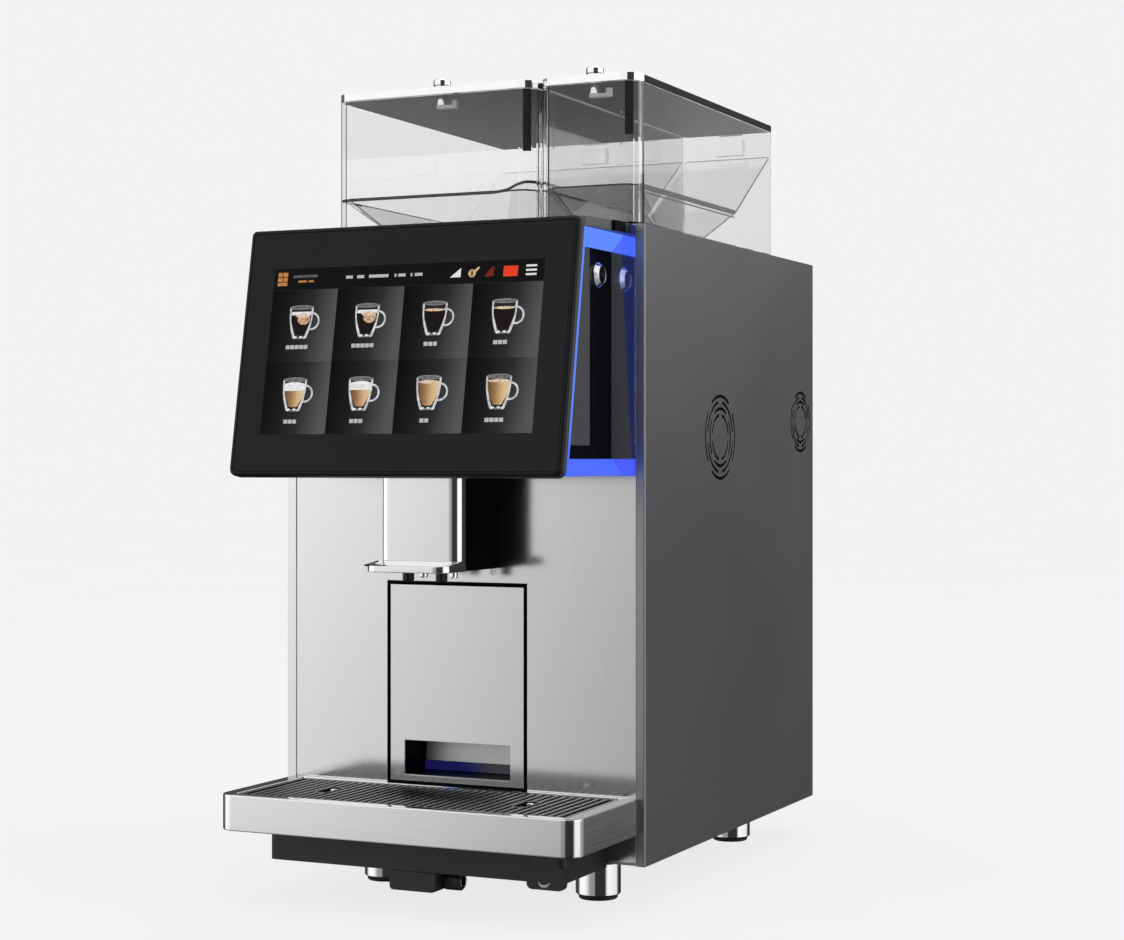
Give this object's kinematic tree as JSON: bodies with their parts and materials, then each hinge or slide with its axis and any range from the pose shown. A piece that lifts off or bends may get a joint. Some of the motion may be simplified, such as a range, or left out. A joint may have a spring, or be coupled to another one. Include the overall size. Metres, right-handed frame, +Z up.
{
  "type": "hot coffee vending machine",
  "caption": "Table-top hot coffee machine with a leaning touch display, clear hoppers, a height-adjustable spout, a grounds drawer and a drip tray.",
  "frame": {"origin": "bottom centre of the whole machine's box, on the surface it stands on", "axes": "+X to the right of someone facing the machine, +Y to the back, +Z up"},
  "size_m": [0.3, 0.4886, 0.6125],
  "materials": {
    "graphite": "satin powder coat",
    "steel": "fine vertical brush",
    "chrome": "polished",
    "black": "fine texture",
    "bezel": "gloss",
    "screen": "lit liquid crystal panel",
    "light": "frosted, lit blue",
    "clear": "clear moulded plastic",
    "lid": "satin",
    "white": "satin",
    "aluminium": "as cast",
    "brass": "machined",
    "board": "solder resist"
  },
  "bodies": {
    "cabinet": {"base_plate": "aluminium", "side_panel_right": "graphite", "side_panel_left": "graphite", "top_plate": "graphite", "front_panel": "steel", "lower_front_plate": "steel", "rear_panel": "graphite", "power_inlet": "black", "water_inlet": "brass", "display_bezel": "bezel", "display_glass": "bezel", "display_screen": "screen", "head_housing": "black", "head_cover": "graphite", "button_bezel": "chrome", "light_guide_right": "light", "light_guide_left": "light", "guide_rods": "chrome", "tray_support": "black", "drain_block": "black", "drawer_sleeve": "black", "grinder_housing": "aluminium", "brew_cylinder": "white", "boiler": "steel", "water_pump": "brass", "control_board": "board", "power_supply": "aluminium", "fan_frame_front": "black", "fan_frame_rear": "black"},
    "spout": {"spout_cover": "steel", "spout_body": "black", "coffee_nozzle_left": "black", "coffee_nozzle_right": "black", "milk_nozzle_left": "chrome", "milk_nozzle_right": "chrome"},
    "tray": {"drip_tray": "steel"},
    "grate": {"drip_grate": "black"},
    "drawer": {"drawer_front": "steel", "handle_box": "black", "handle_flap": "steel", "grounds_bin": "black"},
    "hopper_left": {"hopper_left": "clear", "funnel_left": "clear"},
    "hopper_right": {"hopper_right": "clear", "funnel_right": "clear"},
    "lid_left": {"lid_left": "lid", "lid_trim_left": "chrome"},
    "lid_right": {"lid_right": "lid", "lid_trim_right": "chrome"},
    "lock_left": {"lid_lock_left": "chrome"},
    "lock_right": {"lid_lock_right": "chrome"},
    "power_button": {"power_button": "black"},
    "fan_front": {"fan_rotor_front": "black"},
    "fan_rear": {"fan_rotor_rear": "black"},
    "burr": {"grinder_burr": "chrome"},
    "piston": {"brew_piston": "white"},
    "foot_front_right": {"foot_front_right": "chrome"},
    "foot_front_left": {"foot_front_left": "chrome"},
    "foot_rear_right": {"foot_rear_right": "chrome"},
    "foot_rear_left": {"foot_rear_left": "chrome"}
  },
  "joints": [
    {"name": "spout_height", "type": "slide", "parent": "cabinet", "child": "spout", "axis": [0, 0, 1], "range_m": [-0.07, 0]},
    {"name": "tray_pull", "type": "slide", "parent": "cabinet", "child": "tray", "axis": [0, -1, 0], "range_m": [0, 0.13]},
    {"name": "grate_lift", "type": "slide", "parent": "tray", "child": "grate", "axis": [0, 0, -1], "range_m": [-0.05, 0]},
    {"name": "drawer_pull", "type": "slide", "parent": "cabinet", "child": "drawer", "axis": [0, -1, 0], "range_m": [0, 0.18]},
    {"name": "hopper_left_lift", "type": "slide", "parent": "cabinet", "child": "hopper_left", "axis": [0, 0, 1], "range_m": [0, 0.03]},
    {"name": "lid_left_hinge", "type": "hinge", "parent": "hopper_left", "child": "lid_left", "pos_m": [-0.023, 0.1588, 0.5995], "axis": [-1, 0, 0], "range_deg": [0, 100]},
    {"name": "lock_left_turn", "type": "hinge", "parent": "lid_left", "child": "lock_left", "pos_m": [-0.023, -0.1207, 0.605], "axis": [0, 0, 1], "range_deg": [0, 90]},
    {"name": "hopper_right_lift", "type": "slide", "parent": "cabinet", "child": "hopper_right", "axis": [0, 0, 1], "range_m": [0, 0.03]},
    {"name": "lid_right_hinge", "type": "hinge", "parent": "hopper_right", "child": "lid_right", "pos_m": [0.104, 0.1588, 0.5995], "axis": [-1, 0, 0], "range_deg": [0, 100]},
    {"name": "lock_right_turn", "type": "hinge", "parent": "lid_right", "child": "lock_right", "pos_m": [0.104, -0.1207, 0.605], "axis": [0, 0, 1], "range_deg": [0, 90]},
    {"name": "power_button_press", "type": "slide", "parent": "cabinet", "child": "power_button", "axis": [-1, 0, 0], "range_m": [0, 0.0015], "stiffness_N_per_m": 400},
    {"name": "fan_front_spin", "type": "hinge", "parent": "cabinet", "child": "fan_front", "pos_m": [0.1395, 0.0173, 0.342], "axis": [1, 0, 0], "continuous": true},
    {"name": "fan_rear_spin", "type": "hinge", "parent": "cabinet", "child": "fan_rear", "pos_m": [0.1395, 0.2113, 0.357], "axis": [1, 0, 0], "continuous": true},
    {"name": "burr_spin", "type": "hinge", "parent": "cabinet", "child": "burr", "pos_m": [-0.023, -0.0357, 0.4463], "axis": [0, 0, 1], "continuous": true},
    {"name": "piston_stroke", "type": "slide", "parent": "cabinet", "child": "piston", "axis": [0, 0, -1], "range_m": [0, 0.05]},
    {"name": "foot_front_right_thread", "type": "hinge", "parent": "cabinet", "child": "foot_front_right", "pos_m": [0.1, -0.1057, 0], "axis": [0, 0, 1], "continuous": true},
    {"name": "foot_front_left_thread", "type": "hinge", "parent": "cabinet", "child": "foot_front_left", "pos_m": [-0.079, -0.1067, 0], "axis": [0, 0, 1], "continuous": true},
    {"name": "foot_rear_right_thread", "type": "hinge", "parent": "cabinet", "child": "foot_rear_right", "pos_m": [0.1, 0.1723, 0], "axis": [0, 0, 1], "continuous": true},
    {"name": "foot_rear_left_thread", "type": "hinge", "parent": "cabinet", "child": "foot_rear_left", "pos_m": [-0.079, 0.1723, 0], "axis": [0, 0, 1], "continuous": true}
  ]
}
